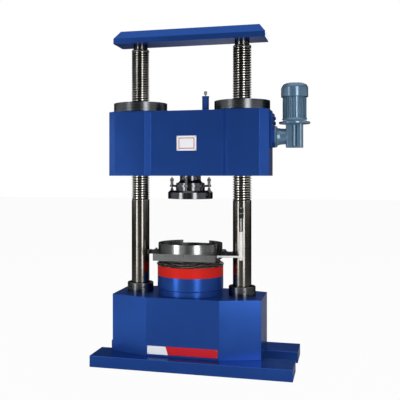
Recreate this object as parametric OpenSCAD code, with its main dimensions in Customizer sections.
// Two-column electro-hydraulic compression testing machine.
// Millimetres. The load axis is Z, +X runs to the gearmotor side, -Y is the front.
// The origin lies on the floor, on the load axis, in the middle of the anchor holes.

/* [Feet] */
// Height of the two foot beams
foot_h = 90; // [70:1:120]
// Width of each foot beam, front to back
foot_w = 303; // [240:1:320]
// Distance between the middles of the two foot beams
foot_pitch = 557; // [540:1:600]
// Reach of the feet to the left of the load axis
foot_left = 730; // [720:1:800]
// Reach of the feet to the right of the load axis
foot_right = 866; // [720:1:900]
// Chamfer along the long edges of the feet
foot_chamfer = 4; // [1:0.5:8]
// Diameter of the anchor holes
anchor_d = 20; // [16:1:28]
// Depth of the anchor holes from below
anchor_deep = 60; // [40:1:66]
// Distance between the left and the right anchor holes
anchor_pitch = 1340; // [1280:1:1380]

/* [Base] */
// Height of the base block
base_h = 465; // [440:1:520]
// Overall width of the base block
base_w = 1216; // [1180:1:1260]
// Overall depth of the base block
base_d = 626; // [590:1:660]
// Width of the flat in the middle of the front and the back
base_face_w = 590; // [520:1:640]
// Depth of the flat at each end
base_end_d = 422; // [380:1:460]
// Diameter of the pockets for the column nuts
base_pocket_d = 250; // [230:1:270]
// Depth of the pockets for the column nuts
base_pocket_h = 120; // [112:1:140]

/* [Columns] */
// Outer diameter of the columns
col_d = 150; // [140:1:160]
// Distance between the column axes
col_pitch = 860; // [840:1:880]
// Height of the lower end of the columns above the foot tops
col_inset = 10; // [4:1:20]
// Diameter of the necks that enter the top beam
col_neck_d = 120; // [100:1:130]
// Length of neck in view under the top beam
col_neck_h = 39; // [25:1:60]
// Chamfer between shaft and neck
col_chamfer = 8; // [3:1:12]
// Diameter of the nuts under the base
base_nut_d = 236; // [200:1:240]
// Height of the nuts under the base
base_nut_h = 100; // [80:1:105]
// Outer diameter of the collars on the base
collar_d = 218; // [205:1:236]
// Height of the collars
collar_h = 78; // [60:1:90]
// Diameter of the spanner holes in the collars
collar_hole_d = 15; // [10:1:18]
// Spanner holes in each collar
collar_holes = 6; // [4:1:8]

/* [Top beam] */
// Height of the underside of the top beam above the floor
beam_z = 2627; // [2560:1:2700]
// Length of the top beam
beam_w = 1260; // [1220:1:1300]
// Depth of the top beam
beam_d = 260; // [230:1:290]
// Height of the upright faces of the top beam
beam_side_h = 44; // [30:1:60]
// Height of the hipped upper part
beam_hip_h = 66; // [50:1:75]
// Horizontal run of the hipped faces
beam_hip_run = 50; // [30:1:60]
// Depth of the sockets for the column necks
beam_socket_h = 60; // [45:1:64]
// Thread diameter of the screws that hold the beam
beam_bolt_d = 36; // [24:1:42]

/* [Cylinder] */
// Outer diameter of the hydraulic cylinder
cyl_d = 544; // [520:1:560]
// Height of the cylinder above the base block
cyl_h = 235; // [200:1:260]
// Height of the cylinder head
head_h = 82; // [70:1:90]
// Diameter of the stepped-in foot of the cylinder
cyl_foot_d = 528; // [512:1:540]
// Height of the stepped-in foot of the cylinder
cyl_foot_h = 46; // [30:1:60]
// Diameter of the spigot let into the base
spigot_d = 480; // [460:1:500]
// Depth of the spigot let into the base
spigot_h = 200; // [180:1:220]
// Thickness of the cylinder bottom
cyl_floor = 40; // [30:1:60]
// Screws in the cylinder head
head_bolts_n = 12; // [8:2:16]
// Thread diameter of the head screws
head_bolt_d = 24; // [16:1:24]
// Depth of the head screws in the barrel
head_bolt_deep = 50; // [30:1:60]

/* [Ram] */
// Diameter of the ram
ram_d = 360; // [340:1:370]
// Stroke of the ram
ram_stroke = 100; // [80:5:100]
// Height of the piston land at the foot of the ram
piston_h = 60; // [40:1:80]
// Radial step from the ram to the piston land
piston_step = 4; // [3:0.5:6]
// Height of the folded skirt when the ram is down
skirt_h = 53; // [45:1:70]
// Folds of the skirt
skirt_folds = 3; // [3:1:6]
// Diameter over the lowest fold of the skirt
skirt_hem_d = 566; // [550:1:580]
// Diameter over the top of the skirt
skirt_top_d = 456; // [430:1:480]
// Depth of the folds
skirt_fold = 16; // [8:1:20]
// Thickness of the skirt
skirt_t = 3; // [2:0.5:4]

/* [Lower platen] */
// Side of the square ram plate
plate_w = 510; // [490:1:530]
// Thickness of the ram plate
plate_t = 56; // [50:1:70]
// Diameter of the lower platen
lower_platen_d = 340; // [300:1:360]
// Thickness of the lower platen
lower_platen_t = 40; // [30:1:50]
// Height of the centre mark in the front face
mark_h = 20; // [12:1:30]
// Depth of the centre mark
mark_deep = 6; // [3:1:10]

/* [Guard ring] */
// Outer diameter of the guard ring
ring_d = 530; // [500:1:540]
// Wall of the guard ring
ring_wall = 10; // [6:1:14]
// Height of the guard ring
ring_h = 68; // [60:1:80]
// Width of the notch at the back of the ring
notch_w = 228; // [180:1:260]
// Depth of the notch
notch_h = 24; // [16:1:34]
// Thickness of the disc under the ring
disc_t = 6; // [4:1:10]
// Overhang of the disc past the ring
disc_lip = 3; // [1:0.5:5]

/* [Guide arms] */
// Height of the guide arms
arm_h = 34; // [24:1:40]
// Depth of the guide arms, front to back
arm_w = 30; // [20:1:34]
// Distance from the top of the ram plate down to the middle of the arms
arm_drop = 10; // [8:1:24]
// Distance from the plate to the clamp block of each arm
arm_block_x = 22; // [14:1:26]
// Width of the clamp blocks along X
arm_block_w = 30; // [20:1:34]
// Width of the guide shoes, front to back
shoe_w = 70; // [50:1:90]
// Thickness of the guide shoes along X, at the middle
shoe_t = 14; // [8:1:20]

/* [Displacement sensor] */
// Offset of the sensor from the axis of the right column along X
sensor_x = 7; // [0:1:12]
// Distance from the column axis forward to the sensor
sensor_y = 118; // [110:1:130]
// Outer diameter of the sensor tube
tube_d = 32; // [28:1:36]
// Diameter of the sensor rod
rod_d = 20; // [16:1:22]
// Length of the sensor tube
tube_len = 227; // [210:1:230]
// Drop from the top of the ram plate to the lower end of the tube
tube_drop = 46; // [40:1:50]
// Free height between tube and clamps with the ram down
sensor_free = 106; // [104:1:130]
// Height of each clamp
clamp_h = 36; // [28:1:40]
// Gap between the two clamps
clamp_gap = 8; // [4:1:16]
// Width of the clamps
clamp_w = 32; // [28:1:40]
// Diameter of the arm that carries the tube
sensor_arm_d = 16; // [12:1:18]
// Height of that arm above the lower end of the tube
sensor_arm_z = 27; // [20:1:32]
// Distance from the plate's middle forward to the root of that arm
sensor_arm_y = 155; // [120:1:180]

/* [Crosshead] */
// Height of the underside of the crosshead above the floor
cross_z = 1526; // [1500:1:1600]
// Height of the crosshead
cross_h = 530; // [490:1:540]
// Overall width of the crosshead
cross_w = 1324; // [1310:1:1360]
// Depth of the crosshead over the column bosses
cross_d = 414; // [400:1:440]
// Depth of the end faces
cross_end_d = 284; // [260:1:310]
// Width of the outer facets along X
cross_facet_w = 68; // [50:1:80]
// Half width of the middle face out to the start of its facets
cross_mid_w = 293; // [270:1:300]
// Width of the inner facets along X
cross_step_w = 43; // [30:1:48]
// Depth by which the middle face lies back
cross_step_d = 41; // [30:1:50]
// Outer diameter of the guide bushes
bush_d = 190; // [176:1:200]
// Height of the guide bushes
bush_h = 100; // [80:1:120]
// Lowest travel of the crosshead from the position shown
lift_down = 240; // [200:5:240]
// Highest travel of the crosshead from the position shown
lift_up = 390; // [300:5:390]

/* [Column nuts] */
// Diameter of the chambers for the column nuts
chamber_d = 300; // [286:1:320]
// Height of the chambers
chamber_h = 276; // [250:1:290]
// Outer diameter of the column nuts
nut_d = 176; // [170:1:178]
// Diameter of the chain wheels on the nuts
sprocket_d = 220; // [200:1:236]
// Thickness of the chain wheels
sprocket_t = 20; // [14:1:26]
// Height of the chain wheels above the chamber floor
sprocket_z = 175; // [160:1:185]
// Thickness of the chain
chain_t = 13; // [10:1:16]
// Thickness of the thrust washers
washer_t = 10; // [6:1:14]
// Outer diameter of the nut covers
cover_d = 450; // [430:1:454]
// Height of the upright wall of the covers
cover_h = 74; // [60:1:84]
// Height of the coned top of the covers
cover_cone_h = 12; // [6:1:16]
// Diameter of the flat inside the coned top
cover_flat_d = 200; // [180:1:240]
// Height of the seats under the covers
seat_h = 2; // [1:1:16]

/* [Spherical seat] */
// Diameter of the neck of the seat
neck_d = 174; // [165:1:185]
// Length of the neck from the crosshead to the flare
neck_h = 32; // [24:1:40]
// Diameter of the flange of the seat
seat_flange_d = 268; // [264:1:280]
// Thickness of the flange and its lugs
seat_flange_t = 18; // [14:1:22]
// Diameter of the shoulder above the flange
shoulder_d = 236; // [230:1:244]
// Height of the shoulder above the flange
shoulder_h = 16; // [10:1:20]
// Diameter of the spigot let into the crosshead
seat_spigot_d = 120; // [100:1:140]
// Height of that spigot
seat_spigot_h = 40; // [30:1:50]
// Radius of the lined spherical face, about the middle of the platen face
sphere_r = 153.3; // [152:0.1:154]
// Thickness of the bronze liner
liner_t = 3.4; // [2:0.1:3.6]
// Largest tilt of the upper platen, in degrees
tilt_max = 2; // [1:0.5:2.5]

/* [Upper platen] */
// Drop from the crosshead to the face of the upper platen
platen_drop = 189; // [186:1:200]
// Diameter of the upper platen
platen_d = 370; // [350:1:380]
// Thickness of the upper platen
platen_t = 66; // [60:1:68]
// Chamfer round the top of the upper platen
platen_chamfer = 14; // [8:1:18]
// Diameter of the hub behind the upper platen
hub_d = 240; // [230:1:244]
// Radius of the circle of spring studs
stud_r = 157; // [152:1:162]
// Diameter of the spring studs
stud_d = 12; // [10:1:14]
// Diameter of the stud nuts over their corners
stud_head_d = 24; // [20:1:26]
// Height of the stud nuts
stud_head_h = 20; // [16:1:22]
// Length of thread that the studs have in the platen
stud_deep = 24; // [18:1:30]
// Depth of the studs' holes past their threads
stud_hole_extra = 2; // [1:1:4]
// Length of the springs
spring_h = 38; // [34:1:40]
// Outer diameter of the springs
spring_d = 27; // [24:1:30]
// Wire diameter of the springs
spring_wire = 4; // [3:0.5:4.5]
// Turns of each spring
spring_turns = 5; // [4:1:6]

/* [Drive shaft] */
// Height of the drive shaft above the underside of the crosshead
drive_z = 315; // [305:1:325]
// Diameter of the drive shaft
shaft_d = 50; // [40:1:54]
// Outer diameter of the shaft bush
shaft_bush_d = 70; // [64:1:76]
// Pitch radius of the large bevel wheel
bevel_r = 120; // [116:1:124]
// Pitch radius of the bevel pinion
pinion_r = 40; // [36:1:42]
// Face width of the bevel gears
bevel_face = 28; // [20:1:30]
// Thickness of the large bevel wheel at its rim
bevel_back = 16; // [10:1:18]

/* [Bracket] */
// Thickness of the bracket plate
bracket_t = 20; // [14:1:26]
// Width of the bracket plate, front to back
bracket_w = 240; // [200:1:250]
// Height of the bracket plate
bracket_h = 272; // [250:1:280]
// Height of the bracket's lower edge above the underside of the crosshead
bracket_z = 230; // [210:1:240]
// Thickness of the round pad on the bracket
pad_t = 15; // [8:1:20]
// Distance across the flats of the bracket bolts
bolt_flats = 24; // [18:1:27]
// Depth of the bracket bolts in the crosshead
bolt_deep = 30; // [20:1:40]
// Distance of the upper bolts from the bracket's upper edge
bolt_edge = 34; // [24:1:44]
// Distance between the two rows of bracket bolts
bolt_row = 40; // [30:1:50]
// Distance of the bolts from the sides of the bracket
bolt_side = 20; // [16:1:30]

/* [Gearbox] */
// Distance from the crosshead's end face to the motor axis
motor_x = 187; // [184:1:200]
// Width of the gearbox housing along X
gear_w = 130; // [120:1:140]
// Depth of the gearbox housing, front to back
gear_d = 136; // [120:1:150]
// Height of the gearbox housing
gear_h = 188; // [170:1:196]
// Drop from the drive shaft to the bottom of the housing
gear_drop = 89; // [85:1:93]
// Rounding of the upright edges of the housing
gear_round = 18; // [8:1:24]
// Width of the slot in the front and the back of the housing
slot_w = 42; // [30:1:50]
// Depth of the slot
slot_deep = 24; // [16:1:30]
// Diameter of the output flange
out_flange_d = 172; // [164:1:180]
// Thickness of the output flange
out_flange_t = 14; // [10:1:18]

/* [Motor] */
// Diameter of the motor flange
flange_d = 244; // [220:1:250]
// Height of the motor flange
flange_h = 46; // [36:1:52]
// Diameter over the cooling fins
fin_d = 188; // [180:1:192]
// Height of the finned housing
fin_h = 184; // [170:1:200]
// Number of cooling fins
fins_n = 32; // [24:2:40]
// Radial height of the fins
fin_deep = 10; // [6:1:12]
// Thickness of the fins
fin_t = 4; // [3:0.5:5]
// Diameter of the fan cowl
cowl_d = 213; // [200:1:216]
// Height of the fan cowl
cowl_h = 111; // [100:1:140]
// Rounding of the cowl's upper edge
cowl_round = 42; // [20:1:48]
// Sheet thickness of the cowl
cowl_t = 2.5; // [1.5:0.5:4]
// Overlap of the cowl over the housing
cowl_lap = 16; // [12:1:24]
// Slots in the top of the cowl
cowl_slots = 16; // [8:2:20]
// Diameter of the rotor
rotor_d = 138; // [120:1:140]
// Diameter of the motor shaft
motor_shaft_d = 24; // [19:1:28]
// How far the motor shaft reaches into the gearbox
motor_shaft_deep = 40; // [30:1:50]
// Height of the rotor's underside over the foot of the housing
rotor_lift = 20; // [14:1:28]
// Drop from the top of the housing to the top of the rotor
rotor_drop = 28; // [22:1:36]
// Height of the fan over the housing
fan_lift = 14; // [8:1:20]
// Height of the fan
fan_h = 34; // [24:1:40]
// Radial distance from the fan's disc to the outside of the cowl
fan_play = 26; // [18:1:34]
// Blades of the fan
fan_blades = 8; // [5:1:11]
// Width of the terminal box
box_w = 96; // [80:1:110]
// Height of the terminal box
box_h = 100; // [80:1:120]
// Depth of the terminal box with its lid
box_d = 52; // [40:1:60]
// Height of the terminal box over the foot of the housing
box_lift = 34; // [26:1:50]

/* [Limit switch] */
// Distance of the limit post from the load axis along X
post_x = 128; // [100:1:150]
// Diameter of the limit post
post_d = 56; // [48:1:60]
// Height of the limit post
post_h = 125; // [110:1:150]
// Diameter of the plunger stem
plunger_d = 10; // [8:1:14]
// Diameter of the plunger head
plunger_head_d = 25; // [20:1:30]
// Height of the plunger head
plunger_head_h = 28; // [20:1:30]
// Travel of the plunger
plunger_travel = 10; // [6:1:12]

/* [Clearances] */
// Radial clearance of a running or seated fit
fit = 0.05; // [0.02:0.01:0.08]
// Free gap between faces that only pass each other
gap = 0.3; // [0.2:0.05:0.4]

/* [Hidden] */
$fn = 96;

blue = "#1F3D7E";
red = "#DD2A22";
steel = "#8C8C8A";
dark_steel = "#3A3A3A";
black = "#17181A";
bronze = "#A9773A";
motor_blue = "#6E8CA0";
white = "#F0F0EE";

base_top = foot_h + base_h;
col_x = col_pitch / 2;
col_r = col_d / 2;
col_bottom = foot_h + col_inset;
col_shoulder = beam_z - col_neck_h;
neck_top = beam_z + beam_socket_h;
beam_top = beam_z + beam_side_h + beam_hip_h;

cyl_top = base_top + cyl_h;
barrel_top = cyl_top - head_h;
barrel_bottom = base_top - spigot_h;
oil_floor = barrel_bottom + cyl_floor;
ram_r = ram_d / 2;
bore_r = ram_r + piston_step;
seal_h = head_h / 5;
seal_t = 8;
head_bolt_r = (bore_r + seal_t + cyl_foot_d / 2) / 2;

plate_z = cyl_top + skirt_h;
plate_top = plate_z + plate_t;
lower_face = plate_top + lower_platen_t;
ring_z = plate_top + disc_t;
ring_top = ring_z + ring_h;

arm_z = plate_top - arm_drop;
arm_pad_t = ring_d / 2 + disc_lip - plate_w / 2 + 1;
shoe_x = col_x - col_r - gap - shoe_t;

sensor_cx = col_x + sensor_x;
tube_z = plate_top - tube_drop;
tube_top = tube_z + tube_len;
tube_floor = 10;
clamp_z = tube_top + sensor_free;
clamps_top = clamp_z + 2 * clamp_h + clamp_gap;
rod_bottom = tube_z + tube_floor + ram_stroke + 5;
arm_root = [plate_w / 2, -sensor_arm_y];
arm_run = [sensor_cx - arm_root[0], -sensor_y - arm_root[1]];
arm_flange_w = 36;
arm_flange_t = 8;

cross_top = cross_z + cross_h;
chamber_z = cross_top - chamber_h;
cover_z = cross_top + seat_h;
nut_z = chamber_z + washer_t + gap;
nut_top = cover_z - gap;
chain_z = chamber_z + sprocket_z;
chain_r = sprocket_d / 2 + gap;
drive_h = cross_z + drive_z;
cross_end = cross_w / 2;

platen_face = cross_z - platen_drop;
platen_top = platen_face + platen_t;
dome_r = sphere_r;
socket_r = dome_r + liner_t + 2 * gap;
seat_bottom = platen_face + sqrt(pow(dome_r, 2) - pow(hub_d / 2, 2));
lug_top = seat_bottom + seat_flange_t;
stud_washer_t = 3;
stud_hole_r = stud_d / 2 + (lug_top - platen_face) * tan(tilt_max) + gap;
lug_r = stud_hole_r + 7;

motor_cx = cross_end + motor_x;
pad_x = cross_end + bracket_t;
out_x = pad_x + pad_t;
gear_x = motor_cx - gear_w / 2;
gear_z = drive_h - gear_drop;
flange_z = gear_z + gear_h;
housing_z = flange_z + flange_h;
housing_top = housing_z + fin_h;
cowl_z = housing_top - cowl_lap;
cowl_top = cowl_z + cowl_h;
rotor_z = housing_z + rotor_lift;
rotor_h = fin_h - rotor_lift - rotor_drop;
fan_z = housing_top + fan_lift;
box_z = housing_z + box_lift;
shaft_end = motor_cx;

post_top = cross_top + post_h;
plunger_hole = 70;

// Moves its children to the left and to the right column.
module at_columns() {
    for (side = [-1, 1])
        translate([side * col_x, 0, 0]) children();
}

// A ring standing on z.
module ring(outer_r, inner_r, z, h) {
    translate([0, 0, z]) difference() {
        cylinder(r = outer_r, h = h);
        translate([0, 0, -1]) cylinder(r = inner_r, h = h + 2);
    }
}

// A bar along X with a rectangular section, from x0 to x1.
module bar_x(x0, x1, y0, y1, z0, z1) {
    translate([x0, y0, z0]) cube([x1 - x0, y1 - y0, z1 - z0]);
}

// One foot beam with chamfered long edges and its two blind anchor holes.
module foot(y) {
    c = foot_chamfer;
    color(blue) difference() {
        translate([-foot_left, y, 0])
            rotate([90, 0, 90])
                linear_extrude(foot_left + foot_right)
                    polygon([[-foot_w / 2, 0], [foot_w / 2, 0],
                        [foot_w / 2, foot_h - c], [foot_w / 2 - c, foot_h],
                        [-foot_w / 2 + c, foot_h], [-foot_w / 2, foot_h - c]]);
        for (side = [-1, 1])
            translate([side * anchor_pitch / 2, y, -1])
                cylinder(d = anchor_d, h = anchor_deep + 1);
    }
}

module foot_front() { foot(-foot_pitch / 2); }

module foot_rear() { foot(foot_pitch / 2); }

// Outline of the base seen from above.
module base_outline() {
    polygon([
        [-base_w / 2, -base_end_d / 2], [-base_face_w / 2, -base_d / 2],
        [base_face_w / 2, -base_d / 2], [base_w / 2, -base_end_d / 2],
        [base_w / 2, base_end_d / 2], [base_face_w / 2, base_d / 2],
        [-base_face_w / 2, base_d / 2], [-base_w / 2, base_end_d / 2]]);
}

// Base block with column bores, nut pockets and the recess for the cylinder.
module base_body() {
    color(blue) difference() {
        translate([0, 0, foot_h]) linear_extrude(base_h) base_outline();
        at_columns() {
            translate([0, 0, foot_h - 1]) cylinder(r = col_r + fit, h = base_h + 2);
            translate([0, 0, foot_h - 1]) cylinder(d = base_pocket_d, h = base_pocket_h + 1);
        }
        translate([0, 0, barrel_bottom - gap])
            cylinder(d = spigot_d + 2 * fit, h = spigot_h + gap + 1);
        translate([0, base_d / 2 + 1, port_z])
            rotate([90, 0, 0]) cylinder(r = port_r, h = base_d / 2 - bore_r);
    }
}

// Oil port on the back of the base.
port_r = 10;
port_z = (barrel_bottom + base_top) / 2;
port_gap = 60;
port_size = [150, 42, 64];

module port_block() {
    color(dark_steel) difference() {
        translate([-port_size[0] / 2, base_d / 2, port_z - port_size[2] / 2]) cube(port_size);
        translate([0, base_d / 2 - 1, port_z])
            rotate([-90, 0, 0]) cylinder(r = port_r, h = port_size[1] / 2 + 1);
        for (side = [-1, 1])
            translate([side * port_gap / 2, base_d / 2 + port_size[1] / 2, port_z])
                rotate([-90, 0, 0]) cylinder(r = port_r, h = port_size[1] / 2 + 1);
    }
}

// Two hexagon fittings with nipples, closed against dust.
module port_fittings() {
    nipple_r = port_r - 1;
    color(steel)
        for (side = [-1, 1])
            translate([side * port_gap / 2, base_d / 2 + port_size[1], port_z])
                rotate([-90, 0, 0]) {
                    cylinder(r = port_r * 1.6, h = 16, $fn = 6);
                    translate([0, 0, 16]) cylinder(r = nipple_r, h = 18);
                    translate([0, 0, -12]) cylinder(r = port_r - fit, h = 12);
                }
}

// Column: smooth shaft, chamfered shoulder, neck with a tapped hole in its end.
module column() {
    color(steel) difference() {
        rotate_extrude() polygon([
            [0, col_bottom], [col_r - 3, col_bottom], [col_r, col_bottom + 3],
            [col_r, col_shoulder - col_chamfer], [col_r - col_chamfer, col_shoulder],
            [col_neck_d / 2, col_shoulder], [col_neck_d / 2, neck_top], [0, neck_top]]);
        translate([0, 0, neck_top - beam_bolt_len])
            cylinder(r = beam_bolt_d / 2 + fit, h = beam_bolt_len + 1);
    }
}

module column_left() { translate([-col_x, 0, 0]) column(); }

module column_right() { translate([col_x, 0, 0]) column(); }

// Collar with a chamfered top and radial spanner holes.
module collar(turn) {
    c = 4;
    hole_deep = (collar_d / 2 - col_r) * 0.65;
    color(dark_steel) difference() {
        rotate_extrude() polygon([
            [col_r + fit, base_top], [collar_d / 2, base_top],
            [collar_d / 2, base_top + collar_h - c], [collar_d / 2 - c, base_top + collar_h],
            [col_r + fit, base_top + collar_h]]);
        for (i = [0 : collar_holes - 1])
            rotate([0, 0, turn + i * 360 / collar_holes])
                translate([collar_d / 2 - hole_deep, 0, base_top + collar_h * 0.58])
                    rotate([0, 90, 0]) cylinder(d = collar_hole_d, h = hole_deep + 1);
    }
}

module collar_left() { translate([-col_x, 0, 0]) collar(0); }

module collar_right() { translate([col_x, 0, 0]) collar(-15); }

// Slotted nuts that hold the columns down, in the pockets of the base.
module base_nuts() {
    z = foot_h + base_pocket_h - base_nut_h;
    color(dark_steel) at_columns()
        difference() {
            ring(base_nut_d / 2, col_r + fit, z, base_nut_h);
            for (a = [0 : 90 : 270])
                rotate([0, 0, a])
                    translate([base_nut_d / 2 - 14, -12, z - 1]) cube([30, 24, 20]);
        }
}

// Top beam: upright lower faces, hipped upper part, sockets for the necks.
beam_bolt_len = 60;
beam_head_h = 30;
beam_head_r = beam_bolt_d * 0.75;

module beam_hip() {
    x = beam_w / 2;
    y = beam_d / 2;
    r = beam_hip_run;
    z0 = beam_z + beam_side_h;
    polyhedron(
        points = [[-x, -y, z0], [x, -y, z0], [x, y, z0], [-x, y, z0],
            [-x + r, -y + r, beam_top], [x - r, -y + r, beam_top],
            [x - r, y - r, beam_top], [-x + r, y - r, beam_top]],
        faces = [[0, 1, 2, 3], [7, 6, 5, 4], [1, 0, 4, 5], [2, 1, 5, 6], [3, 2, 6, 7], [0, 3, 7, 4]]);
}

module top_beam() {
    color(blue) difference() {
        union() {
            translate([-beam_w / 2, -beam_d / 2, beam_z]) cube([beam_w, beam_d, beam_side_h]);
            beam_hip();
        }
        at_columns() {
            translate([0, 0, beam_z - 1]) cylinder(r = col_neck_d / 2 + fit, h = beam_socket_h + 1);
            translate([0, 0, beam_z]) cylinder(r = beam_bolt_d / 2 + 1, h = beam_top - beam_z + 1);
            translate([0, 0, beam_top - beam_head_h]) cylinder(r = beam_head_r + 1, h = beam_head_h + 1);
        }
    }
}

// Socket-head screws that pull the beam onto the column necks.
module beam_bolts() {
    color(dark_steel) at_columns() difference() {
        union() {
            translate([0, 0, beam_top - beam_head_h]) cylinder(r = beam_head_r, h = beam_head_h - 2);
            translate([0, 0, neck_top - beam_bolt_len + 4])
                cylinder(d = beam_bolt_d, h = beam_top - beam_head_h - neck_top + beam_bolt_len - 4);
        }
        translate([0, 0, beam_top - beam_head_h / 2]) cylinder(r = beam_bolt_d / 2.4, h = beam_head_h, $fn = 6);
    }
}

// Cylinder barrel: spigot in the base, stepped foot, oil chamber.
module cylinder_barrel() {
    step_c = 4;
    color(blue) difference() {
        rotate_extrude() polygon([
            [0, barrel_bottom], [spigot_d / 2, barrel_bottom], [spigot_d / 2, base_top],
            [cyl_foot_d / 2, base_top], [cyl_foot_d / 2, base_top + cyl_foot_h],
            [cyl_d / 2 - step_c, base_top + cyl_foot_h],
            [cyl_d / 2, base_top + cyl_foot_h + step_c],
            [cyl_d / 2, barrel_top], [bore_r + gap, barrel_top],
            [bore_r + gap, oil_floor], [0, oil_floor]]);
        head_screws() translate([0, 0, barrel_top - head_bolt_deep])
            cylinder(r = head_bolt_d / 2 + fit, h = head_bolt_deep + 1);
        translate([0, spigot_d / 2 + 1, port_z])
            rotate([90, 0, 0]) cylinder(r = port_r, h = spigot_d / 2 - bore_r + 2);
    }
}

// Places of the head screws.
module head_screws() {
    for (i = [0 : head_bolts_n - 1])
        rotate([0, 0, (i + 0.5) * 360 / head_bolts_n])
            translate([head_bolt_r, 0, 0]) children();
}

// Cylinder head: the red band, with the ram guide and the seal groove.
module cylinder_head() {
    c = 3;
    seal_z = barrel_top + head_h * 0.6;
    color(red) difference() {
        rotate_extrude() polygon([
            [ram_r + fit, barrel_top], [cyl_d / 2, barrel_top],
            [cyl_d / 2, cyl_top - c], [cyl_d / 2 - c, cyl_top],
            [ram_r + fit, cyl_top], [ram_r + fit, seal_z + seal_h],
            [ram_r + seal_t, seal_z + seal_h], [ram_r + seal_t, seal_z],
            [ram_r + fit, seal_z]]);
        head_screws() {
            translate([0, 0, barrel_top - 1]) cylinder(r = head_bolt_d / 2 + fit, h = head_h + 2);
            translate([0, 0, cyl_top - head_bolt_d - 2]) cylinder(r = head_bolt_d * 0.75 + fit, h = head_bolt_d + 3);
        }
    }
}

// Socket-head screws of the cylinder head.
module head_bolts() {
    color(dark_steel) head_screws() difference() {
        union() {
            translate([0, 0, cyl_top - head_bolt_d - 2]) cylinder(r = head_bolt_d * 0.75, h = head_bolt_d);
            translate([0, 0, barrel_top - head_bolt_deep + 4])
                cylinder(d = head_bolt_d, h = head_h + head_bolt_deep - head_bolt_d - 6);
        }
        translate([0, 0, cyl_top - head_bolt_d * 0.6]) cylinder(r = head_bolt_d / 2.4, h = head_bolt_d, $fn = 6);
    }
}

// Seal ring in the groove of the head.
module ram_seal() {
    color(black) ring(ram_r + seal_t - fit, ram_r + fit, barrel_top + head_h * 0.6 + fit, seal_h - 2 * fit);
}

// Ram with its piston land.
module ram() {
    color(steel) rotate_extrude() polygon([
        [0, oil_floor + gap], [bore_r, oil_floor + gap], [bore_r, oil_floor + gap + piston_h],
        [ram_r, oil_floor + gap + piston_h + piston_step], [ram_r, plate_z], [0, plate_z]]);
}

// Radius of the skirt's outer skin at step i of n; odd steps are the peaks of the folds.
function skirt_radius(i, n) =
    (skirt_hem_d - (skirt_hem_d - skirt_top_d) * max(i - 1, 0) / (n - 1)) / 2
    - (i % 2 == 0 && i < n ? skirt_fold : 0);

// Folded skirt between the cylinder head and the ram plate.
module skirt() {
    n = 2 * skirt_folds;
    outer = [for (i = [0 : n]) [skirt_radius(i, n), cyl_top + skirt_h * i / n]];
    inner = [for (i = [n : -1 : 0]) [skirt_radius(i, n) - skirt_t, cyl_top + skirt_h * i / n]];
    color(black) rotate_extrude() polygon(concat(outer, inner));
}

// Square plate on the ram, with a centre mark in its front face.
module ram_plate() {
    c = 4;
    w = plate_w / 2;
    color(steel) difference() {
        translate([0, 0, plate_z]) linear_extrude(plate_t)
            polygon([[-w + c, -w], [w - c, -w], [w, -w + c], [w, w - c],
                [w - c, w], [-w + c, w], [-w, w - c], [-w, -w + c]]);
        translate([0, -w, plate_top - mark_h])
            linear_extrude(mark_h + 1)
                polygon([[-mark_deep, -1], [mark_deep, -1], [0, mark_deep]]);
    }
}

// Thin disc between the ram plate and the guard ring.
module ring_disc() {
    color(steel) ring(ring_d / 2 + disc_lip, lower_platen_d / 2 + gap, plate_top, disc_t);
}

// Guard ring, notched at the back.
module guard_ring() {
    color(steel) difference() {
        ring(ring_d / 2, ring_d / 2 - ring_wall, ring_z, ring_h);
        translate([-notch_w / 2, 0, ring_top - notch_h]) cube([notch_w, ring_d, notch_h + 1]);
    }
}

// Lower platen inside the guard ring.
module lower_platen() {
    c = 2;
    r = lower_platen_d / 2;
    color(steel) rotate_extrude() polygon([
        [0, plate_top], [r, plate_top], [r, lower_face - c], [r - c, lower_face], [0, lower_face]]);
}

// Guide arm on the right side: pad on the plate, bar, clamp block and its screw.
module guide_arm() {
    x0 = plate_w / 2;
    z0 = arm_z - arm_h / 2;
    color(black) {
        bar_x(x0, x0 + arm_pad_t, -arm_w / 2 - 2, arm_w / 2 + 2, z0 + 2, plate_top - 2);
        bar_x(x0 + arm_pad_t, shoe_x, -arm_w / 2, arm_w / 2, z0, z0 + arm_h);
        bar_x(x0 + arm_block_x, x0 + arm_block_x + arm_block_w,
            -arm_w / 2 - 6, arm_w / 2 + 6, z0 - 3, z0 + arm_h + 6);
        translate([x0 + arm_block_x + arm_block_w / 2, 0, z0 + arm_h + 6]) cylinder(d = arm_w * 0.5, h = 10);
    }
}

module guide_arm_right() { guide_arm(); }

module guide_arm_left() { mirror([1, 0, 0]) guide_arm(); }

// Guide shoe, hollowed to the column it slides along.
module guide_shoe() {
    color(black) difference() {
        bar_x(shoe_x, col_x - col_r + 8, -shoe_w / 2, shoe_w / 2, arm_z - arm_h / 2, arm_z + arm_h / 2);
        translate([col_x, 0, 0]) cylinder(r = col_r + gap, h = cross_z);
    }
}

module guide_shoe_right() { guide_shoe(); }

module guide_shoe_left() { mirror([1, 0, 0]) guide_shoe(); }

// Two clamps on the front of the right column, bored for the sensor rod.
module sensor_clamps() {
    color(black)
        for (i = [0, 1])
            difference() {
                translate([sensor_cx - clamp_w / 2, -sensor_y - rod_d / 2 - 8, clamp_z + i * (clamp_h + clamp_gap)])
                    cube([clamp_w, sensor_y + rod_d / 2 + 8, clamp_h]);
                translate([col_x, 0, clamp_z - 1]) cylinder(r = col_r + fit, h = clamps_top - clamp_z + 2);
                translate([sensor_cx, -sensor_y, clamp_z - 1])
                    cylinder(r = rod_d / 2 + fit, h = clamps_top - clamp_z + 2);
            }
}

// Rod of the displacement sensor, held by the clamps.
module sensor_rod() {
    color(steel) translate([sensor_cx, -sensor_y, rod_bottom])
        cylinder(d = rod_d, h = clamps_top + 6 - rod_bottom);
}

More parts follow.
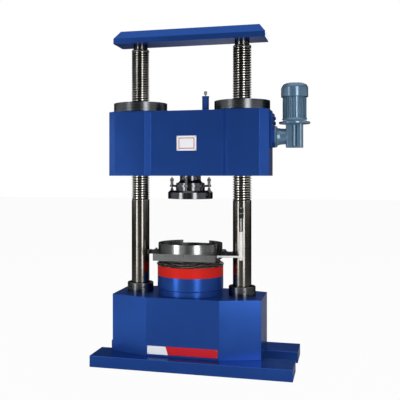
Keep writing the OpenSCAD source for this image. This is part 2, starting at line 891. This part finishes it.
// Tube of the displacement sensor, blind at its lower end.
module sensor_tube() {
    color(white) translate([sensor_cx, -sensor_y, 0]) difference() {
        translate([0, 0, tube_z]) cylinder(d = tube_d, h = tube_len);
        translate([0, 0, tube_z + tube_floor]) cylinder(r = rod_d / 2 + gap, h = tube_len);
    }
}

// Arm from the ram plate to the sensor tube, with a foot and a clamp ring.
module sensor_arm() {
    z = tube_z + sensor_arm_z;
    z0 = z - sensor_arm_d / 2 - 1;
    h = sensor_arm_d + 2;
    reach = norm(arm_run);
    turn = atan2(arm_run[1], arm_run[0]);
    color(white) difference() {
        union() {
            translate([arm_root[0], arm_root[1] - arm_flange_w / 2, z0])
                cube([arm_flange_t, arm_flange_w, h]);
            translate([arm_root[0] + arm_flange_t / 2, arm_root[1], z])
                rotate([0, 90, turn]) cylinder(d = sensor_arm_d, h = reach - tube_d / 2);
            translate([sensor_cx, -sensor_y, z0]) cylinder(r = tube_d / 2 + 6, h = h);
        }
        translate([sensor_cx, -sensor_y, z0 - 1]) cylinder(r = tube_d / 2 + fit, h = h + 2);
        translate([arm_root[0] - reach, arm_root[1] - reach, z0 - 1]) cube([reach, 2 * reach, h + 2]);
    }
}

// Outline of the crosshead seen from above.
module cross_outline() {
    xe = cross_w / 2;
    xf = xe - cross_facet_w;
    xm = cross_mid_w + cross_step_w;
    ye = cross_end_d / 2;
    yb = cross_d / 2;
    ym = yb - cross_step_d;
    front = [[-xe, -ye], [-xf, -yb], [-xm, -yb], [-cross_mid_w, -ym],
        [cross_mid_w, -ym], [xm, -yb], [xf, -yb], [xe, -ye]];
    back = [for (i = [len(front) - 1 : -1 : 0]) [front[i][0], -front[i][1]]];
    polygon(concat(front, back));
}

// Crosshead: faceted block with nut chambers, chain way and shaft bore.
module crosshead() {
    way_r = chain_r + chain_t + 6;
    color(blue) difference() {
        union() {
            translate([0, 0, cross_z]) linear_extrude(cross_h) cross_outline();
            at_columns() translate([0, 0, cross_top - 1]) cylinder(r = cross_d / 2 - 2, h = seat_h + 1);
        }
        at_columns() {
            translate([0, 0, cross_z - 1]) cylinder(r = col_r + 10, h = cross_h + seat_h + 2);
            translate([0, 0, cross_z - 1]) cylinder(r = bush_d / 2 + fit, h = bush_h + 1);
            translate([0, 0, chamber_z]) cylinder(d = chamber_d, h = chamber_h + seat_h + 1);
        }
        translate([-col_x, -way_r, chain_z - 12]) cube([col_pitch, 2 * way_r, sprocket_t + 24]);
        translate([col_x, 0, drive_h]) rotate([0, 90, 0]) cylinder(r = shaft_bush_d / 2 + fit, h = cross_w / 2);
        translate([0, 0, cross_z - 1]) cylinder(r = seat_spigot_d / 2 + fit, h = seat_spigot_h + 1 + gap);
        bracket_places() translate([-bracket_t - bolt_deep, 0, 0]) rotate([0, 90, 0])
            cylinder(r = bolt_flats / 3 + fit, h = bolt_deep + 1);
    }
}

// Bronze bush that guides the crosshead on a column.
module guide_bush() {
    color(bronze) ring(bush_d / 2, col_r + fit, cross_z, bush_h);
}

module guide_bush_left() { translate([-col_x, 0, 0]) guide_bush(); }

module guide_bush_right() { translate([col_x, 0, 0]) guide_bush(); }

// Thrust washers under the column nuts.
module thrust_washers() {
    color(steel) at_columns() ring(nut_d / 2, col_r + 4, chamber_z, washer_t);
}

// Cover over a nut chamber: upright wall and coned top.
module nut_cover() {
    color(dark_steel) rotate_extrude() polygon([
        [col_r + 4, cover_z], [cover_d / 2, cover_z], [cover_d / 2, cover_z + cover_h],
        [cover_flat_d / 2, cover_z + cover_h + cover_cone_h],
        [col_r + 4, cover_z + cover_h + cover_cone_h]]);
}

module nut_cover_left() { translate([-col_x, 0, 0]) nut_cover(); }

module nut_cover_right() { translate([col_x, 0, 0]) nut_cover(); }

// Chain round both chain wheels, drawn as a plain band.
module drive_chain() {
    outer = chain_r + chain_t;
    color(steel) translate([0, 0, chain_z]) linear_extrude(sprocket_t)
        difference() {
            union() {
                at_columns() circle(r = outer);
                square([col_pitch, 2 * outer], center = true);
            }
            at_columns() circle(r = chain_r);
            square([col_pitch, 2 * chain_r], center = true);
        }
}

// Column nut with its chain wheel; the thread is plain.
module column_nut() {
    color(bronze) {
        ring(nut_d / 2, col_r + fit, nut_z, nut_top - nut_z);
        ring(sprocket_d / 2, nut_d / 2, chain_z, sprocket_t);
    }
}

module nut_left() { translate([-col_x, 0, 0]) column_nut(); }

// The right nut also carries the large bevel wheel, drawn as its pitch cone.
module nut_right() {
    cone = pinion_r / bevel_r;
    r0 = bevel_r - bevel_face;
    translate([col_x, 0, 0]) {
        column_nut();
        color(bronze) rotate_extrude() polygon([
            [nut_d / 2, drive_h + nut_d / 2 * cone + gap], [r0, drive_h + r0 * cone + gap],
            [bevel_r, drive_h + pinion_r + gap],
            [bevel_r, drive_h + pinion_r + bevel_back],
            [nut_d / 2, drive_h + pinion_r + bevel_back * 1.4]]);
    }
}

// Drive shaft along X with the bevel pinion, drawn as its pitch cone.
module drive_shaft() {
    cone = pinion_r / bevel_r;
    x0 = bevel_r - bevel_face + gap;
    x1 = bevel_r - gap;
    color(dark_steel) translate([col_x, 0, drive_h]) rotate([0, 90, 0]) rotate_extrude() polygon([
        [0, x0], [x0 * cone - gap, x0], [x1 * cone - gap, x1],
        [shaft_d / 2, x1 + 4], [shaft_d / 2, shaft_end - col_x], [0, shaft_end - col_x]]);
}

// Bush that carries the drive shaft in the crosshead wall.
module shaft_bush() {
    color(bronze) translate([0, 0, drive_h]) rotate([0, 90, 0])
        ring(shaft_bush_d / 2, shaft_d / 2 + fit, col_x + chamber_d / 2 - 4, cross_end - col_x - chamber_d / 2 + 4);
}

// Spherical seat: spigot, neck, flare, shoulder, flange and four lugs.
module platen_seat() {
    flare_z = cross_z - neck_h;
    shoulder_z = lug_top + shoulder_h;
    flare_r = shoulder_d / 2 - neck_d / 2;
    flare_h = flare_z - shoulder_z;
    flare = [for (a = [0 : 15 : 90])
        [shoulder_d / 2 - flare_r * sin(a), flare_z - flare_h * cos(a)]];
    color(dark_steel) difference() {
        union() {
            rotate_extrude() polygon(concat(
                [[0, seat_bottom + 1], [seat_flange_d / 2, seat_bottom + 1],
                [seat_flange_d / 2, lug_top], [shoulder_d / 2, lug_top]],
                flare,
                [[neck_d / 2, cross_z], [seat_spigot_d / 2, cross_z],
                [seat_spigot_d / 2, cross_z + seat_spigot_h], [0, cross_z + seat_spigot_h]]));
            for (a = [0 : 90 : 270])
                rotate([0, 0, a]) translate([0, 0, seat_bottom + 1])
                    linear_extrude(lug_top - seat_bottom - 1) {
                        translate([shoulder_d / 2, -lug_r]) square([stud_r - shoulder_d / 2, 2 * lug_r]);
                        translate([stud_r, 0]) circle(r = lug_r);
                    }
        }
        translate([0, 0, platen_face]) sphere(r = socket_r, $fn = 128);
        for (a = [0 : 90 : 270])
            rotate([0, 0, a]) translate([stud_r, 0, seat_bottom]) cylinder(r = stud_hole_r, h = seat_flange_t + 2);
    }
}

// Bronze liner between the seat and the dome of the platen.
module seat_liner() {
    color(bronze) intersection() {
        translate([0, 0, platen_face]) difference() {
            sphere(r = dome_r + gap + liner_t, $fn = 128);
            sphere(r = dome_r + gap, $fn = 128);
        }
        ring(hub_d / 2 + 3, 30, seat_bottom + 2, dome_r);
    }
}

// Upper platen: chamfered disc, hub and spherical dome.
module upper_platen() {
    r = platen_d / 2;
    c = platen_chamfer;
    color(dark_steel) difference() {
        union() {
            rotate_extrude() polygon([
                [0, platen_face], [r - 2, platen_face], [r, platen_face + 2],
                [r, platen_top - c], [r - c, platen_top], [0, platen_top]]);
            intersection() {
                translate([0, 0, platen_face]) sphere(r = dome_r, $fn = 128);
                translate([0, 0, platen_face]) cylinder(d = hub_d, h = dome_r - 8);
            }
        }
        for (a = [0 : 90 : 270])
            rotate([0, 0, a]) translate([stud_r, 0, platen_top - stud_deep - stud_hole_extra])
                cylinder(r = stud_d / 2 + fit, h = stud_deep + stud_hole_extra + stud_d);
    }
}

// Four studs with nuts and washers; the springs pull the platen up by them.
module platen_studs() {
    washer_z = lug_top + spring_h;
    color(steel)
        for (a = [0 : 90 : 270])
            rotate([0, 0, a]) translate([stud_r, 0, 0]) {
                translate([0, 0, platen_top - stud_deep])
                    cylinder(d = stud_d, h = washer_z + stud_washer_t + stud_head_h + 4 - platen_top + stud_deep);
                translate([0, 0, washer_z]) cylinder(r = spring_d / 2 + 1, h = stud_washer_t);
                translate([0, 0, washer_z + stud_washer_t])
                    cylinder(d = stud_head_d, h = stud_head_h, $fn = 6);
            }
}

// Point number j of ring number i on the wire of a spring.
spring_steps = 12;
spring_sides = 6;
function spring_point(i, j) =
    let (n = spring_turns * spring_steps,
        rise = spring_h - spring_wire - 2 * gap,
        turn = i * 360 / spring_steps,
        side = j * 360 / spring_sides,
        r = spring_d / 2 - spring_wire / 2 + spring_wire / 2 * cos(side))
    [r * cos(turn), r * sin(turn), spring_wire / 2 + gap + rise * i / n + spring_wire / 2 * sin(side)];

module spring() {
    n = spring_turns * spring_steps;
    s = spring_sides;
    points = [for (i = [0 : n]) for (j = [0 : s - 1]) spring_point(i, j)];
    sides = [for (i = [0 : n - 1]) for (j = [0 : s - 1])
        [i * s + j, i * s + (j + 1) % s, (i + 1) * s + (j + 1) % s, (i + 1) * s + j]];
    ends = [[for (j = [s - 1 : -1 : 0]) j], [for (j = [0 : s - 1]) n * s + j]];
    polyhedron(points = points, faces = concat(sides, ends));
}

module stud_springs() {
    color(steel)
        for (a = [0 : 90 : 270])
            rotate([0, 0, a]) translate([stud_r, 0, lug_top]) spring();
}

// Bracket plate and round pad on the right end of the crosshead.
module drive_bracket() {
    z0 = cross_z + bracket_z;
    color(blue) difference() {
        union() {
            bar_x(cross_end, pad_x, -bracket_w / 2, bracket_w / 2, z0, z0 + bracket_h);
            translate([pad_x - 1, 0, drive_h]) rotate([0, 90, 0]) cylinder(d = out_flange_d + 6, h = pad_t + 1);
        }
        translate([cross_end - 1, 0, drive_h]) rotate([0, 90, 0])
            cylinder(r = shaft_d / 2 + 3, h = bracket_t + pad_t + 2);
        bracket_places() translate([-bracket_t - 1, 0, 0]) rotate([0, 90, 0])
            cylinder(r = bolt_flats / 3 + fit, h = bracket_t + 2);
    }
}

// Places of the bracket bolts on the face of the plate.
module bracket_places() {
    top = cross_z + bracket_z + bracket_h;
    for (y = [-1, 1], z = [top - bolt_edge, top - bolt_edge - bolt_row])
        translate([pad_x, y * (bracket_w / 2 - bolt_side), z]) children();
}

// Hexagon bolts of the bracket.
module bracket_bolts() {
    color(dark_steel) bracket_places() {
        rotate([0, 90, 0]) cylinder(d = bolt_flats / cos(30), h = bolt_flats * 0.4, $fn = 6);
        translate([-bracket_t - bolt_deep + 2, 0, 0]) rotate([0, 90, 0])
            cylinder(r = bolt_flats / 3, h = bracket_t + bolt_deep);
    }
}

// Gearbox: output flange, flared neck, housing with a slot front and back.
module gearbox() {
    neck_r = gear_d / 2 - 4;
    x1 = out_x + out_flange_t;
    run = gear_x - x1;
    flare_r = out_flange_d / 2 - 6 - neck_r;
    flare = [for (a = [90 : -15 : 0])
        [out_flange_d / 2 - 6 - flare_r * cos(a), x1 + run * (1 - sin(a)) * 0.8]];
    w = gear_w / 2 - gear_round;
    d = gear_d / 2 - gear_round;
    color(motor_blue) difference() {
        union() {
            translate([0, 0, drive_h]) rotate([0, 90, 0]) rotate_extrude() polygon(concat(
                [[0, out_x], [out_flange_d / 2, out_x], [out_flange_d / 2, x1]],
                flare,
                [[neck_r, gear_x + gear_round], [0, gear_x + gear_round]]));
            translate([motor_cx, 0, gear_z]) difference() {
                linear_extrude(gear_h) {
                    square([gear_w, 2 * d], center = true);
                    square([2 * w, gear_d], center = true);
                    for (x = [-w, w], y = [-d, d]) translate([x, y]) circle(r = gear_round);
                }
                for (side = [-1, 1])
                    translate([-slot_w / 2, side > 0 ? gear_d / 2 - slot_deep : -gear_d / 2 - 1, 10])
                        cube([slot_w, slot_deep + 1, gear_h - 20]);
            }
            for (side = [-1, 1])
                translate([motor_cx, side * (gear_d / 2 - slot_deep), gear_z + 5])
                    cylinder(d = slot_w * 0.8, h = gear_h - 10);
        }
        translate([out_x - 1, 0, drive_h]) rotate([0, 90, 0])
            cylinder(r = shaft_d / 2 + fit, h = shaft_end - out_x + 1 + gap);
        translate([motor_cx, 0, flange_z - motor_shaft_deep - gap])
            cylinder(r = motor_shaft_d / 2 + fit, h = motor_shaft_deep + 1 + gap);
    }
}

// Motor flange with a coned top.
module motor_flange() {
    r = flange_d / 2;
    color(motor_blue) translate([motor_cx, 0, 0]) rotate_extrude() polygon([
        [motor_shaft_d / 2 + fit, flange_z], [r - 2, flange_z], [r, flange_z + 2], [r, flange_z + flange_h * 0.34],
        [r * 0.84, flange_z + flange_h * 0.62], [r * 0.78, housing_z], [motor_shaft_d / 2 + fit, housing_z]]);
}

// Finned housing, closed at the top, with pads for the cowl and the terminal box.
module motor_housing() {
    core = fin_d / 2 - fin_deep;
    color(motor_blue) translate([motor_cx, 0, housing_z]) difference() {
        union() {
            cylinder(r = core, h = fin_h);
            linear_extrude(fin_h - cowl_lap - 4)
                for (i = [0 : fins_n - 1])
                    rotate(i * 360 / fins_n)
                        translate([core - 1, -fin_t / 2]) square([fin_deep + 1, fin_t]);
            for (a = [45 : 90 : 315])
                rotate([0, 0, a]) translate([0, -8, fin_h - cowl_lap])
                    cube([cowl_d / 2 - cowl_t - gap - 1, 16, cowl_lap]);
            translate([-box_w / 2 + 6, 0, box_z - housing_z + 6]) cube([box_w - 12, fin_d / 2 + 3, box_h - 12]);
        }
        translate([0, 0, -1]) cylinder(r = rotor_d / 2 + 0.6, h = fin_h - 7);
        cylinder(r = motor_shaft_d / 2 + fit, h = fin_h + 1);
    }
}

// Fan cowl: rounded sheet cup with slots in its top.
module motor_cowl() {
    r = cowl_d / 2;
    q = cowl_round;
    t = cowl_t;
    outer = [for (a = [0 : 10 : 90]) [r - q + q * cos(a), cowl_top - q + q * sin(a)]];
    inner = [for (a = [90 : -10 : 0]) [r - q + (q - t) * cos(a), cowl_top - q + (q - t) * sin(a)]];
    color(motor_blue) translate([motor_cx, 0, 0]) difference() {
        rotate_extrude() polygon(concat(
            [[r, cowl_z]], outer, [[0, cowl_top], [0, cowl_top - t]], inner, [[r - t, cowl_z]]));
        for (i = [0 : cowl_slots - 1])
            rotate([0, 0, (i + 0.5) * 360 / cowl_slots])
                translate([r * 0.24, -2.5, cowl_top - 10]) cube([r * 0.36, 5, 20]);
    }
}

// Terminal box on the back of the motor, with a lid and a cable gland.
module terminal_box() {
    y0 = fin_d / 2 + 3;
    color(motor_blue) translate([motor_cx, 0, box_z]) {
        translate([-box_w / 2, y0, 0]) cube([box_w, box_d - 8, box_h]);
        translate([-box_w / 2 - 2, y0 + box_d - 8, -2]) cube([box_w + 4, 8, box_h + 4]);
        translate([0, y0 + box_d / 2, -14]) cylinder(r = 13, h = 14, $fn = 6);
        translate([0, y0 + box_d / 2, -22]) cylinder(r = 9, h = 8);
    }
}

// Rotor and shaft of the motor.
module motor_rotor() {
    color(dark_steel) translate([motor_cx, 0, 0]) {
        translate([0, 0, flange_z - motor_shaft_deep])
            cylinder(d = motor_shaft_d, h = fan_z + fan_h - flange_z + motor_shaft_deep);
        translate([0, 0, rotor_z]) cylinder(d = rotor_d, h = rotor_h);
    }
}

// Fan on the upper end of the motor shaft.
module motor_fan() {
    color(black) translate([motor_cx, 0, fan_z]) difference() {
        union() {
            cylinder(r = motor_shaft_d / 2 + 8, h = fan_h);
            cylinder(r = cowl_d / 2 - fan_play, h = 3);
            for (i = [0 : fan_blades - 1])
                rotate([0, 0, i * 360 / fan_blades])
                    translate([motor_shaft_d / 2 + 4, -1.5, 0])
                        cube([cowl_d / 2 - fan_play - 6 - motor_shaft_d / 2, 3, fan_h]);
        }
        translate([0, 0, -1]) cylinder(r = motor_shaft_d / 2 + fit, h = fan_h + 2);
    }
}

// Post of the upper limit switch.
module limit_post() {
    color(blue) translate([post_x, 0, 0]) difference() {
        union() {
            translate([0, 0, cross_top]) cylinder(d = post_d, h = post_h);
            translate([0, 0, post_top - 8]) cylinder(d = post_d + 5, h = 8);
        }
        translate([0, 0, post_top - plunger_hole]) cylinder(r = plunger_d / 2 + gap, h = plunger_hole + 1);
    }
}

// Sprung plunger of the limit switch.
module limit_plunger() {
    head_z = post_top + plunger_travel + 4;
    r = plunger_head_d / 2;
    c = 5;
    color(steel) translate([post_x, 0, 0]) rotate_extrude() polygon([
        [0, post_top - plunger_hole + plunger_travel + gap],
        [plunger_d / 2, post_top - plunger_hole + plunger_travel + gap],
        [plunger_d / 2, head_z], [r, head_z], [r, head_z + plunger_head_h - c],
        [r - c, head_z + plunger_head_h], [0, head_z + plunger_head_h]]);
}

foot_front();
foot_rear();
base_body();
port_block();
port_fittings();
column_left();
column_right();
collar_left();
collar_right();
base_nuts();
top_beam();
beam_bolts();
cylinder_barrel();
cylinder_head();
head_bolts();
ram_seal();
sensor_clamps();
sensor_rod();
ram();
skirt();
ram_plate();
ring_disc();
guard_ring();
lower_platen();
guide_arm_left();
guide_arm_right();
guide_shoe_left();
guide_shoe_right();
sensor_arm();
sensor_tube();
crosshead();
guide_bush_left();
guide_bush_right();
thrust_washers();
nut_cover_left();
nut_cover_right();
drive_chain();
platen_seat();
stud_springs();
seat_liner();
upper_platen();
platen_studs();
nut_left();
nut_right();
drive_bracket();
bracket_bolts();
shaft_bush();
drive_shaft();
gearbox();
motor_flange();
motor_housing();
motor_cowl();
terminal_box();
motor_rotor();
motor_fan();
limit_post();
limit_plunger();
